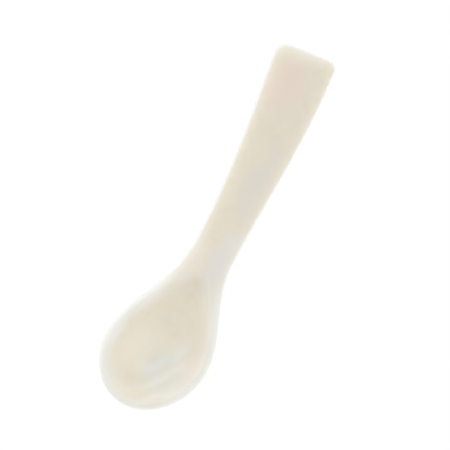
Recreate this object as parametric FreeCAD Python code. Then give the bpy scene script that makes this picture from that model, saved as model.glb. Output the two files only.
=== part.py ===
"""Caviar spoon, cut and ground from one piece of mother-of-pearl shell.

Millimetres, +Z up. The spoon lies face up as it rests on a table at z = 0: on the underside of
its bowl and on the flat heel of its handle. It runs along Y, with the bowl at the -Y end, and
its origin is on the table under the middle of its length and width. While it is being made,
stations along it are measured from the bowl's tip and offsets across it from its centre line.
"""

import FreeCAD
import Part
import math
import os

V = FreeCAD.Vector

# Plan outline
SPOON_LENGTH = 90.0
BOWL_WIDTH = 24.15
WIDEST_FROM_TIP = 13.8
NECK_WIDTH = 9.95
NECK_FROM_TIP = 41.5
HANDLE_END_WIDTH = 14.35
END_TILT_DEG = 3.3
LEFT_CORNER_RADIUS = 2.8
RIGHT_CORNER_RADIUS = 2.0

# Sideways sway of the centre line, which is not quite straight on a spoon cut by hand
TIP_SWAY = -3.58
BOWL_BACK_SWAY = -0.44
BOWL_BACK_FROM_TIP = 38.0
MID_HANDLE_SWAY = 0.35
MID_HANDLE_FROM_TIP = 64.0
END_SWAY = -0.7

# Side view: how high the lower edge stands above the table, and how thick the edge is
TIP_LIFT = 4.6
HEEL_LIFT = 0.4
EDGE_SAG = 0.6
RIM_THICKNESS = 2.0
HANDLE_EDGE_THICKNESS = 2.2
EDGE_ROUND = 0.85

# Faces: the upper side is crowned, and the underside arches between the bowl and the flat heel
EDGE_SLOPE = 0.6
NECK_ARCH = 1.9
HEEL_FROM_TIP = 82.0
HEEL_GRIND = 0.1

# Hollow of the bowl
FLOOR_THICKNESS = 1.7
RIM_WIDTH = 1.4
HOLLOW_BACK_FROM_TIP = 34.0
FLOOR_FULLNESS = 1.25
BACK_WALL_STEEPNESS = 4.0
LIP_SOFTNESS = 0.1

# How finely the outline and the ground faces are drawn
FRONT_POINTS = 12
SIDE_POINTS = 16
BOWL_RIBS = 40
HANDLE_RIBS = 15
RIB_POINTS = 41


def between(start, end, share):
    """A smooth S-shaped step from start to end, level at both ends."""
    share = min(max(share, 0.0), 1.0)
    return start + (end - start) * share * share * (3 - 2 * share)


def shoulder_share(y):
    """How far a station lies from the widest one (0) back to the neck (1)."""
    return (y - WIDEST_FROM_TIP) / (NECK_FROM_TIP - WIDEST_FROM_TIP)


def front_share(y):
    """How far a station lies from the widest one (0) forward to the tip (1)."""
    return (WIDEST_FROM_TIP - y) / WIDEST_FROM_TIP


def centre_line(y):
    """Sideways place of the centre line: the cubic through its four sways."""
    knots = [
        (0.0, TIP_SWAY),
        (BOWL_BACK_FROM_TIP, BOWL_BACK_SWAY),
        (MID_HANDLE_FROM_TIP, MID_HANDLE_SWAY),
        (SPOON_LENGTH, END_SWAY),
    ]
    place = 0.0
    for knot, sway in knots:
        for other, _ in knots:
            if other != knot:
                sway *= (y - other) / (knot - other)
        place += sway
    return place


def half_width(y):
    """Half the width: an ellipse round the tip, ogee shoulders behind it, then a flared handle."""
    bowl = BOWL_WIDTH / 2
    neck = NECK_WIDTH / 2
    if y <= WIDEST_FROM_TIP:
        return bowl * math.sqrt(1 - front_share(y) ** 2)
    if y <= NECK_FROM_TIP:
        return neck + (bowl - neck) * (1 - shoulder_share(y) ** 2) ** 3
    return between(neck, HANDLE_END_WIDTH / 2, (y - NECK_FROM_TIP) / (SPOON_LENGTH - NECK_FROM_TIP))


def edge_share(off, y, inset=0.0):
    """How far out a point lies, squared: 0 in the middle and 1 on the outline or on a line inset from it."""
    if y <= WIDEST_FROM_TIP:
        along = (WIDEST_FROM_TIP - y) / (WIDEST_FROM_TIP - inset)
        return along**2 + (off / (BOWL_WIDTH / 2 - inset)) ** 2
    return (off / (half_width(y) - inset)) ** 2


def lower_edge(y):
    """Height of the lower edge: a nearly straight line down to the heel that sags a little."""
    share = y / SPOON_LENGTH
    return TIP_LIFT + (HEEL_LIFT - TIP_LIFT) * share - 4 * EDGE_SAG * share * (1 - share)


def upper_edge(y):
    """Height of the bowl's rim and of the handle's upper edge."""
    return lower_edge(y) + between(RIM_THICKNESS, HANDLE_EDGE_THICKNESS, shoulder_share(y))


def keel(y):
    """Height of the underside's middle: on the table under the bowl and the heel, up under the neck."""
    if y <= NECK_FROM_TIP:
        return between(0.0, NECK_ARCH, shoulder_share(y))
    return between(NECK_ARCH, -HEEL_GRIND, (y - NECK_FROM_TIP) / (HEEL_FROM_TIP - NECK_FROM_TIP))


def underside(off, y):
    """Height of the underside: it rises as a parabola from the keel to the lower edge."""
    return keel(y) + (lower_edge(y) - keel(y)) * edge_share(off, y)


def sinking(off, y):
    """How far the hollow has sunk at a point, from the crowned face (0) to the bowl's floor (1)."""
    share = 1 - edge_share(off, y, RIM_WIDTH)
    if y > WIDEST_FROM_TIP:
        back = (y - WIDEST_FROM_TIP) / (HOLLOW_BACK_FROM_TIP - WIDEST_FROM_TIP)
        share -= back**BACK_WALL_STEEPNESS
    full = 1 - (1 - share) ** FLOOR_FULLNESS
    return (full + math.hypot(full, LIP_SOFTNESS)) / (1 + math.hypot(1, LIP_SOFTNESS))


def crown(off, y):
    """How far the upper side bulges above its edges: a quartic, steepest where it meets them."""
    reach = half_width(max(y, WIDEST_FROM_TIP))
    return EDGE_SLOPE * reach / 4 * (1 - edge_share(off, y) ** 2)


def upper_side(off, y):
    """Height of the upper side: crowned from edge to edge, and hollowed down to the bowl's floor."""
    crowned = upper_edge(y) + crown(off, y)
    floor = keel(y) + FLOOR_THICKNESS
    return crowned + (floor - crowned) * sinking(off, y)


def past_the_ends():
    """How far the blank and the ground faces run on past the spoon's ends."""
    return WIDEST_FROM_TIP / 4


def rib_stations():
    """Stations of the ribs, closer together along the bowl."""
    first = -past_the_ends()
    last = SPOON_LENGTH + past_the_ends()
    bowl = [first + (NECK_FROM_TIP - first) * i / BOWL_RIBS for i in range(BOWL_RIBS)]
    handle = [NECK_FROM_TIP + (last - NECK_FROM_TIP) * i / HANDLE_RIBS for i in range(HANDLE_RIBS + 1)]
    return bowl + handle


def ground_face(height):
    """A smooth sheet lofted through ribs across the spoon. The height comes from a function."""
    shares = [i / (RIB_POINTS - 1) for i in range(RIB_POINTS)]
    ribs = []
    for y in rib_stations():
        reach = 1.3 * half_width(max(y, WIDEST_FROM_TIP))
        offs = [reach * (2 * share - 1) for share in shares]
        points = [V(centre_line(y) + off, y, height(off, y)) for off in offs]
        rib = Part.BSplineCurve()
        rib.interpolate(Points=points, Parameters=shares)
        ribs.append(Part.Wire(rib.toShape()))
    return Part.makeLoft(ribs)


def outline_point(y, side):
    """A point of the plan outline, on the right (side = 1) or on the left (side = -1)."""
    return V(centre_line(y) + side * half_width(y), y, 0)


def is_upright(edge):
    """Whether an edge runs straight up and down."""
    start = edge.Vertexes[0].Point
    end = edge.Vertexes[-1].Point
    return math.hypot(end.x - start.x, end.y - start.y) < 1e-4 * abs(end.z - start.z)


def sawn_blank():
    """The blank: the plan outline sawn straight down through a thick plate."""
    last = SPOON_LENGTH + past_the_ends()
    behind = [last + (WIDEST_FROM_TIP - last) * i / SIDE_POINTS for i in range(SIDE_POINTS)]
    turns = [math.pi / 2 * i / FRONT_POINTS for i in range(FRONT_POINTS + 1)]
    stations = behind + [WIDEST_FROM_TIP * (1 - math.sin(turn)) for turn in turns]
    points = [outline_point(y, 1) for y in stations]
    points += [outline_point(y, -1) for y in reversed(stations[:-1])]
    outline = Part.BSplineCurve()
    outline.interpolate(points)
    closing = Part.LineSegment(points[-1], points[0])
    plan = Part.Face(Part.Wire([outline.toShape(), closing.toShape()]))
    plan.translate(V(0, 0, -TIP_LIFT))
    return plan.extrude(V(0, 0, 4 * TIP_LIFT))


def end_trimmed(blank):
    """The blank with its end cut a little off square and the two corners there rounded."""
    start = V(-2 * BOWL_WIDTH, 0, -4 * TIP_LIFT)
    waste = Part.makeBox(4 * BOWL_WIDTH, BOWL_WIDTH, 8 * TIP_LIFT, start)
    waste.rotate(V(0, 0, 0), V(0, 0, 1), END_TILT_DEG)
    furthest = outline_point(SPOON_LENGTH, 1).x - RIGHT_CORNER_RADIUS
    waste.translate(V(furthest, SPOON_LENGTH, 0))
    blank = blank.cut(waste)
    for side, radius in ((1, RIGHT_CORNER_RADIUS), (-1, LEFT_CORNER_RADIUS)):
        uprights = [edge for edge in blank.Edges if is_upright(edge)]
        outermost = max(uprights, key=lambda edge: side * edge.Vertexes[0].X)
        blank = blank.makeFillet(radius, [outermost])
    return blank


def make_spoon():
    """The finished spoon: ground above and below, rounded all along its edges, its heel flattened."""
    away = V(0, 0, 6 * TIP_LIFT)
    body = end_trimmed(sawn_blank())
    body = body.cut(ground_face(upper_side).extrude(away))
    body = body.cut(ground_face(underside).extrude(-away))
    edge_round = min(EDGE_ROUND, 0.65 * RIM_WIDTH, 0.45 * RIM_THICKNESS, 0.45 * HANDLE_EDGE_THICKNESS)
    body = body.makeFillet(edge_round, [edge for edge in body.Edges if not is_upright(edge)])

    under_the_handle = V(-2 * BOWL_WIDTH, NECK_FROM_TIP, -TIP_LIFT)
    body = body.cut(Part.makeBox(4 * BOWL_WIDTH, SPOON_LENGTH, TIP_LIFT, under_the_handle))

    left = min(outline_point(y, -1).x for y in rib_stations() if y > 0)
    right = max(outline_point(y, 1).x for y in rib_stations() if y > 0)
    body.translate(V(-(left + right) / 2, -SPOON_LENGTH / 2, 0))
    return body.Solids[0]


if __name__ == "__main__":
    os.makedirs("parts", exist_ok=True)
    make_spoon().exportStep("parts/spoon.step")
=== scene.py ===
"""A caviar spoon of mother-of-pearl, lying face up on a white table under soft tent light."""

import math

import bmesh
import bpy
from mathutils import Euler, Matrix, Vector


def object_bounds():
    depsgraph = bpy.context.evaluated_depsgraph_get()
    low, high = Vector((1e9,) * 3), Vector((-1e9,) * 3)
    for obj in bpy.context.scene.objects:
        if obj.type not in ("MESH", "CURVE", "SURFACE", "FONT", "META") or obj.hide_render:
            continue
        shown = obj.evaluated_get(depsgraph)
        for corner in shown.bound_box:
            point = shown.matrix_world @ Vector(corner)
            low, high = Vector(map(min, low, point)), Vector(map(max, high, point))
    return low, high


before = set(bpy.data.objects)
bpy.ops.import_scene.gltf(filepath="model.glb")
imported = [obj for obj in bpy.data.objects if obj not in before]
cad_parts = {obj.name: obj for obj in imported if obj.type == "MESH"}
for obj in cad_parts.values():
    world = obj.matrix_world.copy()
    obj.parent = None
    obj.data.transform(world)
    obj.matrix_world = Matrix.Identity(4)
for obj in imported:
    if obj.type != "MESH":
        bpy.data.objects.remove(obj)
cad_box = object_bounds()

MM = 0.001
WHITE = (1, 1, 1, 1)

# The photograph's frame: how large the spoon shows and at which height above the table that holds,
# where its middle is and how far it leans
PHOTO_PX = 450
PX_PER_MM = 4.433
MIDDLE_X_PX = 216.5
MIDDLE_Y_PX = 227.2
LEAN_DEG = 25.6
LENS_MM = 300
SCALE_HEIGHT_MM = 4.0
CLIP_NEAR_M = 0.01
CLIP_FAR_M = 20

# The table, far larger than the view
TABLE_MM = 3000
TABLE_GAP_MM = 0.01


def linear(hex_colour, alpha=1.0):
    """An sRGB hex colour as the linear RGBA that a shader takes."""
    channels = [int(hex_colour[i : i + 2], 16) / 255 for i in (0, 2, 4)]
    return [c / 12.92 if c <= 0.04045 else ((c + 0.055) / 1.055) ** 2.4 for c in channels] + [alpha]


def add(tree, kind, inputs=None, **settings):
    """Adds a node. Its inputs map a socket's name or number to a value or to another node's output."""
    node = tree.nodes.new(kind)
    for name, value in settings.items():
        setattr(node, name, value)
    for socket, value in (inputs or {}).items():
        if isinstance(value, bpy.types.NodeSocket):
            tree.links.new(value, node.inputs[socket])
        else:
            node.inputs[socket].default_value = value
    return node


def empty_material(name):
    """A material whose node tree holds nothing yet."""
    material = bpy.data.materials.new(name)
    material.use_nodes = True
    material.node_tree.nodes.clear()
    return material


# Polished mother-of-pearl: thin sheets of aragonite laid down over years and then ground through.
# The eye gets a pale cream that glows where it thins towards the edges, faint growth bands and blue-grey
# licks where the hollow cuts the sheets, broad clouds of rose and grey, and a quiet gloss.
# On top of that, painted highlight whitens the rounded upper edges, the rim and the shoulders, and paler and
# darker patches on the neck and in the hollow are painted light and painted shade.
SHEET_MM = 0.8
RIPPLE_MM = 6
RIPPLE_HEIGHT_MM = 2.4
MOTTLE_MM = 1.6
MOTTLE_FADE = (0.3, 0.7)
GLOW_MM = 2.0

# How broad the pushes are that growth gave to the pattern, and how far they move it
WANDER_MM = 9
WANDER_REACH_MM = (9, 9, 3)
FLICKER_REACH_MM = (3, 3, 3)

# Licks across the hollow's floor: the middle and reach of each in mm, and its strength
FLAMES = (
    ((1.8, -33.2, 3.0), (3.4, 8.8, 8.0), 1.0),
    ((4.8, -34.4, 3.0), (4.0, 7.0, 8.0), 0.8),
    ((2.0, -39.0, 3.0), (5.0, 4.0, 8.0), 0.45),
    ((5.6, -27.2, 3.0), (2.0, 3.8, 8.0), 0.4),
)
FLAME_TURN_DEG = -27
STREAK_MM = 1.3
STREAK_STRETCH = 5.0
STREAK_FADE = (0.32, 0.56)
LEAST_LICK = 0.4

# Patterns that run through the spoon's whole thickness reach this far along it
THROUGH_MM = 1000.0

# Growth bands: loops round one middle, longer than they are wide, on the lower part of the hollow
BAND_MM = 5.0
BAND_TURN_DEG = -31
BAND_MIDDLE_MM = (0.6, -31.4, 0.0)
BAND_STRETCH = (1.0, 2.2, THROUGH_MM)
BAND_CROWDING = 1.2
BAND_RANGE = (-1.0, 1.2)
BANDED_MIDDLE_MM = (2.4, -37.6, 3.0)
BANDED_REACH_MM = (9.5, 8.5, THROUGH_MM)
BANDED_CORE = 0.4

# Where the surface starts to count as an upper one and as a rounded edge, by how far it faces up; the
# rounded edges get painted highlight
UPPER_FADE = (0.1, 0.35)
ROUNDED_FADE = (0.85, 0.45)

# The hollow inside the rim, and the stretch along the spoon over which the rim's painted highlight comes in
HOLLOW_MIDDLE_MM = (0.1, -30.2, 0.0)
HOLLOW_REACH_MM = (12.6, 16.3, THROUGH_MM)
HOLLOW_TURN_DEG = -5.0
HOLLOW_CORE = 0.66
RIM_FADE_Y_MM = (-17.0, -27.0)

# Clouds that growth pushed about: middle and reach in mm, and tint
WANDERING_CLOUDS = (
    ((5.0, -7.0, 4.0), (4.5, 12.0, 8.0), "F0EDE7"),
    ((4.8, 13.5, 4.0), (4.0, 15.0, 8.0), "ECE9DF"),
    ((0.0, 36.0, 4.0), (6.0, 11.0, 8.0), "F4E9DD"),
)

# Still clouds on the handle's end, the neck and the hollow: paler on the handle's end as its own tone, paler
# on the neck and the hollow's left as painted light, darker on the hollow's right wall as painted shade.
# Middle and reach in mm, turn and tint
STILL_CLOUDS_AND_PAINTED_LIGHT = (
    ((0.0, 46.0, 3.0), (12.0, 6.5, THROUGH_MM), 0.0, "F8F3E8"),
    # On the neck, a paler tint that is painted light
    ((-2.2, -9.0, 3.0), (5.5, 9.5, THROUGH_MM), 0.0, "F4EFE4"),
    # On the hollow's left, a paler tint that is painted light
    ((-3.2, -32.5, 3.0), (7.4, 9.6, THROUGH_MM), 0.0, "F5F0E4"),
    # On the hollow's right wall, down to the tip, darker tints that are painted shade
    ((7.2, -26.5, 3.0), (4.6, 11.5, THROUGH_MM), 0.0, "ECE6DA"),
    ((6.8, -36.4, 3.0), (4.0, 6.5, THROUGH_MM), -35.0, "E9E4D9"),
)

# Painted highlight: pale patches along the bowl's sides and shoulders, where light catches the rim, given in
# the same way
PAINTED_HIGHLIGHT_PATCHES = (
    ((-11.4, -29.5, 3.0), (3.0, 10.5, THROUGH_MM), -4.0, "FAF8F1"),
    ((-7.6, -19.5, 3.0), (3.4, 10.5, THROUGH_MM), -23.0, "F9F6EF"),
    ((9.2, -19.0, 3.0), (2.4, 10.0, THROUGH_MM), 20.0, "F3F3EE"),
    ((9.6, -38.5, 3.0), (3.6, 8.0, THROUGH_MM), -40.0, "F8F5ED"),
)


def cloud(tree, place, centre_mm, reach_mm, turn_deg=0.0, core=0.25):
    """A soft cloud: 1 within its core, a share of its reach along each of its own axes, and 0 beyond it."""
    fitted = add(
        tree,
        "ShaderNodeMapping",
        {
            "Vector": place,
            "Location": centre_mm,
            "Rotation": (0, 0, math.radians(turn_deg)),
            "Scale": reach_mm,
        },
        vector_type="TEXTURE",
    ).outputs[0]
    away = add(tree, "ShaderNodeVectorMath", {0: fitted}, operation="LENGTH").outputs["Value"]
    return add(
        tree,
        "ShaderNodeMapRange",
        {"Value": away, "From Min": core, "From Max": 1.0, "To Min": 1.0, "To Max": 0.0},
        interpolation_type="SMOOTHSTEP",
    ).outputs[0]


def polished_nacre():
    material = empty_material("polished_mother_of_pearl")
    tree = material.node_tree
    coordinates = add(tree, "ShaderNodeTexCoord").outputs
    in_mm = add(
        tree, "ShaderNodeVectorMath", {0: coordinates["Object"], "Scale": 1 / MM}, operation="SCALE"
    ).outputs[0]
    along = add(tree, "ShaderNodeSeparateXYZ", {0: in_mm}).outputs

    # Growth wandered: clouds and licks are read from a place that a broad noise has pushed about
    push = add(tree, "ShaderNodeTexNoise", {"Vector": in_mm, "Scale": 1 / WANDER_MM}).outputs["Color"]
    centred = add(
        tree, "ShaderNodeVectorMath", {0: push, 1: (0.5, 0.5, 0.5)}, operation="SUBTRACT"
    ).outputs[0]
    wandered = add(
        tree, "ShaderNodeVectorMath", {0: centred, 1: WANDER_REACH_MM, 2: in_mm}, operation="MULTIPLY_ADD"
    ).outputs[0]
    flickered = add(
        tree, "ShaderNodeVectorMath", {0: centred, 1: FLICKER_REACH_MM, 2: in_mm}, operation="MULTIPLY_ADD"
    ).outputs[0]

    # The sheets lie nearly level, rippled as they grew, with a fine mottle in them
    ripple = add(tree, "ShaderNodeTexNoise", {"Vector": in_mm, "Scale": 1 / RIPPLE_MM}).outputs[0]
    rippled = add(
        tree, "ShaderNodeMath", {0: ripple, 1: RIPPLE_HEIGHT_MM, 2: along["Z"]}, operation="MULTIPLY_ADD"
    ).outputs[0]
    turns = add(
        tree, "ShaderNodeMath", {0: rippled, 1: 2 * math.pi / SHEET_MM}, operation="MULTIPLY"
    ).outputs[0]
    wave = add(tree, "ShaderNodeMath", {0: turns}, operation="SINE").outputs[0]
    sheet = add(tree, "ShaderNodeMapRange", {"Value": wave, "From Min": -1.0}).outputs[0]
    grain = add(
        tree, "ShaderNodeTexNoise", {"Vector": in_mm, "Scale": 1 / MOTTLE_MM, "Detail": 4.0}
    ).outputs[0]
    mottle = add(
        tree, "ShaderNodeMapRange", {"Value": grain, "From Min": MOTTLE_FADE[0], "From Max": MOTTLE_FADE[1]}
    ).outputs[0]

    # Flames of blue-grey lick across the floor of the bowl
    along_flames = add(
        tree,
        "ShaderNodeMapping",
        {
            "Vector": in_mm,
            "Rotation": (0, 0, math.radians(FLAME_TURN_DEG)),
            "Scale": (1.0, STREAK_STRETCH, 1.0),
        },
        vector_type="TEXTURE",
    ).outputs[0]
    streaks = add(
        tree, "ShaderNodeTexNoise", {"Vector": along_flames, "Scale": 1 / STREAK_MM, "Detail": 3.0}
    ).outputs[0]
    parted = add(
        tree,
        "ShaderNodeMapRange",
        {
            "Value": streaks,
            "From Min": STREAK_FADE[0],
            "From Max": STREAK_FADE[1],
            "To Min": LEAST_LICK,
        },
    ).outputs[0]
    licked = 0.0
    for centre_mm, reach_mm, strength in FLAMES:
        tongue = cloud(tree, flickered, centre_mm, reach_mm, FLAME_TURN_DEG)
        licked = add(
            tree, "ShaderNodeMath", {0: tongue, 1: strength, 2: licked}, operation="MULTIPLY_ADD"
        ).outputs[0]
    licked = add(tree, "ShaderNodeMath", {0: licked, 1: parted}, operation="MULTIPLY").outputs[0]

    # Growth bands show where the hollow cuts the sheets, long loops that crowd away from their middle
    looped = add(
        tree,
        "ShaderNodeMapping",
        {
            "Vector": flickered,
            "Location": BAND_MIDDLE_MM,
            "Rotation": (0, 0, math.radians(BAND_TURN_DEG)),
            "Scale": BAND_STRETCH,
        },
        vector_type="TEXTURE",
    ).outputs[0]
    off_middle = add(tree, "ShaderNodeVectorMath", {0: looped}, operation="LENGTH").outputs["Value"]
    crowded = add(tree, "ShaderNodeMath", {0: off_middle, 1: BAND_CROWDING}, operation="POWER").outputs[0]
    loops = add(
        tree, "ShaderNodeMath", {0: crowded, 1: 2 * math.pi / BAND_MM}, operation="MULTIPLY"
    ).outputs[0]
    swing = add(tree, "ShaderNodeMath", {0: loops}, operation="COSINE").outputs[0]
    band = add(
        tree, "ShaderNodeMapRange", {"Value": swing, "From Min": BAND_RANGE[0], "From Max": BAND_RANGE[1]}
    ).outputs[0]
    banded = cloud(tree, in_mm, BANDED_MIDDLE_MM, BANDED_REACH_MM, core=BANDED_CORE)
    growth = add(tree, "ShaderNodeMath", {0: band, 1: banded}, operation="MULTIPLY").outputs[0]

    # The rounded upper edges and the bowl's rim are painted whiter than the rest: painted highlight where
    # light catches them
    upward = add(tree, "ShaderNodeSeparateXYZ", {0: coordinates["Normal"]}).outputs["Z"]
    upper = add(
        tree, "ShaderNodeMapRange", {"Value": upward, "From Min": UPPER_FADE[0], "From Max": UPPER_FADE[1]}
    ).outputs[0]
    steep = add(
        tree,
        "ShaderNodeMapRange",
        {"Value": upward, "From Min": ROUNDED_FADE[0], "From Max": ROUNDED_FADE[1]},
    ).outputs[0]
    painted_edge_highlight = add(tree, "ShaderNodeMath", {0: steep, 1: upper}, operation="MULTIPLY").outputs[0]
    hollow = cloud(tree, in_mm, HOLLOW_MIDDLE_MM, HOLLOW_REACH_MM, HOLLOW_TURN_DEG, core=HOLLOW_CORE)
    outside = add(tree, "ShaderNodeMath", {0: 1.0, 1: hollow}, operation="SUBTRACT").outputs[0]
    past_neck = add(
        tree,
        "ShaderNodeMapRange",
        {"Value": along["Y"], "From Min": RIM_FADE_Y_MM[0], "From Max": RIM_FADE_Y_MM[1]},
    ).outputs[0]
    ring = add(tree, "ShaderNodeMath", {0: outside, 1: past_neck}, operation="MULTIPLY").outputs[0]
    painted_rim_highlight = add(tree, "ShaderNodeMath", {0: ring, 1: upper}, operation="MULTIPLY").outputs[0]

    layers = [(sheet, "EEE8DA"), (mottle, "F2ECDD")]
    for centre_mm, reach_mm, tint in WANDERING_CLOUDS:
        layers.append((cloud(tree, wandered, centre_mm, reach_mm), tint))
    # These include painted light on the neck and the hollow's left, and painted shade on the hollow's right
    # wall
    for centre_mm, reach_mm, turn_deg, tint in STILL_CLOUDS_AND_PAINTED_LIGHT:
        layers.append((cloud(tree, in_mm, centre_mm, reach_mm, turn_deg), tint))
    layers.append((licked, "EFEFE9"))
    # Painted highlight on the bowl's sides and shoulders
    for centre_mm, reach_mm, turn_deg, tint in PAINTED_HIGHLIGHT_PATCHES:
        layers.append((cloud(tree, in_mm, centre_mm, reach_mm, turn_deg), tint))
    # Painted highlight on the rim and on the rounded upper edges
    layers.append((painted_rim_highlight, "F4F3ED"))
    layers.append((painted_edge_highlight, "F6F6F2"))
    colour = linear("F0EBDF")
    for share, tint in layers:
        colour = add(
            tree, "ShaderNodeMix", {0: share, 6: colour, 7: linear(tint)}, data_type="RGBA"
        ).outputs[2]
    colour = add(
        tree,
        "ShaderNodeMix",
        {0: growth, 6: colour, 7: linear("F9F9F8")},
        data_type="RGBA",
        blend_type="MULTIPLY",
    ).outputs[2]

    shader = add(
        tree,
        "ShaderNodeBsdfPrincipled",
        {
            "Base Color": colour,
            "Roughness": 0.35,
            "IOR": 1.5,
            "Subsurface Weight": 1.0,
            "Subsurface Radius": (1.0, 1.0, 1.0),
            "Subsurface Scale": GLOW_MM * MM,
            "Sheen Weight": 0.25,
            "Sheen Roughness": 0.5,
            "Coat Weight": 0.3,
            "Coat Roughness": 0.12,
        },
    )
    add(tree, "ShaderNodeOutputMaterial", {"Surface": shader.outputs[0]})
    return material


def seen_directly(tree):
    """1 for rays that the camera, a gloss or a clear body sends out, and 0 for the rays that carry light."""
    path = add(tree, "ShaderNodeLightPath")
    glossy = add(
        tree,
        "ShaderNodeMath",
        {0: path.outputs["Is Camera Ray"], 1: path.outputs["Is Glossy Ray"]},
        operation="MAXIMUM",
    )
    return add(
        tree,
        "ShaderNodeMath",
        {0: glossy.outputs[0], 1: path.outputs["Is Transmission Ray"]},
        operation="MAXIMUM",
    ).outputs[0]


# Matt white card over a lit glass: it shows as plain white, keeps a trace of the shadow that falls
# on it, and sends some light up into the spoon's edges
SHADOW_KEPT = 0.1
GLASS_GLOW = 0.3


def white_card():
    material = empty_material("matt_white_card")
    tree = material.node_tree
    card = add(tree, "ShaderNodeBsdfDiffuse", {"Color": linear("F4F4F4")}).outputs[0]
    glass = add(tree, "ShaderNodeEmission", {"Strength": GLASS_GLOW}).outputs[0]
    lit = add(tree, "ShaderNodeAddShader", {0: card, 1: glass}).outputs[0]
    plain = add(tree, "ShaderNodeEmission", {"Strength": 1.0}).outputs[0]
    share = add(
        tree, "ShaderNodeMath", {0: seen_directly(tree), 1: 1 - SHADOW_KEPT}, operation="MULTIPLY"
    ).outputs[0]
    surface = add(tree, "ShaderNodeMixShader", {0: share, 1: lit, 2: plain}).outputs[0]
    add(tree, "ShaderNodeOutputMaterial", {"Surface": surface})
    return material


def table():
    """The white table that the spoon lies on."""
    mesh = bpy.data.meshes.new("table")
    form = bmesh.new()
    bmesh.ops.create_grid(form, x_segments=1, y_segments=1, size=TABLE_MM / 2 * MM)
    bmesh.ops.translate(form, verts=form.verts, vec=(0, 0, cad_box[0].z - TABLE_GAP_MM * MM))
    form.to_mesh(mesh)
    form.free()
    mesh.materials.append(white_card())
    piece = bpy.data.objects.new("table", mesh)
    bpy.context.scene.collection.objects.link(piece)


# Light tent: white cloth all round, lit from outside by banks of lamps near the table's height.
# Each bank has its bearing from the photograph's top, clockwise, and its strength.
TENT_CLOTH = 0.31
TENT_BANKS = ((0, 0.43), (60, 0.37), (120, 0.45), (180, 0.50), (300, 0.92))
BANK_ELEVATION_DEG = 15
BANK_NARROWNESS = 2.0


def light_tent():
    world = bpy.data.worlds.new("light_tent")
    bpy.context.scene.world = world
    world.use_nodes = True
    tree = world.node_tree
    tree.nodes.clear()
    direction = add(tree, "ShaderNodeTexCoord").outputs["Generated"]
    level = TENT_CLOTH
    rise = math.radians(BANK_ELEVATION_DEG)
    for bearing, strength in TENT_BANKS:
        turn = math.radians(LEAN_DEG - bearing)
        towards = (-math.sin(turn) * math.cos(rise), math.cos(turn) * math.cos(rise), math.sin(rise))
        facing = add(
            tree, "ShaderNodeVectorMath", {0: direction, 1: towards}, operation="DOT_PRODUCT"
        ).outputs["Value"]
        lit_side = add(tree, "ShaderNodeMath", {0: facing, 1: 0.0}, operation="MAXIMUM").outputs[0]
        spread = add(tree, "ShaderNodeMath", {0: lit_side, 1: BANK_NARROWNESS}, operation="POWER").outputs[0]
        level = add(
            tree, "ShaderNodeMath", {0: spread, 1: strength, 2: level}, operation="MULTIPLY_ADD"
        ).outputs[0]
    cloth = add(tree, "ShaderNodeBackground", {"Color": WHITE, "Strength": level}).outputs[0]
    plain = add(tree, "ShaderNodeBackground", {"Color": WHITE, "Strength": 1.0}).outputs[0]
    seen = add(tree, "ShaderNodeLightPath").outputs["Is Camera Ray"]
    surface = add(tree, "ShaderNodeMixShader", {0: seen, 1: cloth, 2: plain}).outputs[0]
    add(tree, "ShaderNodeOutputWorld", {"Surface": surface})


def camera():
    """Straight above the spoon, turned so that its handle leans as in the photograph."""
    data = bpy.data.cameras.new("camera")
    data.lens = LENS_MM
    view_mm = PHOTO_PX / PX_PER_MM
    distance_mm = view_mm / data.sensor_width * LENS_MM
    right_mm = (PHOTO_PX / 2 - MIDDLE_X_PX) / PX_PER_MM
    up_mm = (MIDDLE_Y_PX - PHOTO_PX / 2) / PX_PER_MM
    turn = Euler((0, 0, math.radians(LEAN_DEG)))
    place = Vector((right_mm, up_mm, 0))
    place.rotate(turn)
    place.z = SCALE_HEIGHT_MM + distance_mm
    piece = bpy.data.objects.new("camera", data)
    piece.location = place * MM
    piece.rotation_euler = turn
    data.clip_start = CLIP_NEAR_M
    data.clip_end = CLIP_FAR_M
    bpy.context.scene.collection.objects.link(piece)
    bpy.context.scene.camera = piece


bpy.context.scene.view_settings.view_transform = "Standard"

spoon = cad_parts["spoon"]
spoon.data.materials.clear()
spoon.data.materials.append(polished_nacre())

table()
light_tent()
camera()
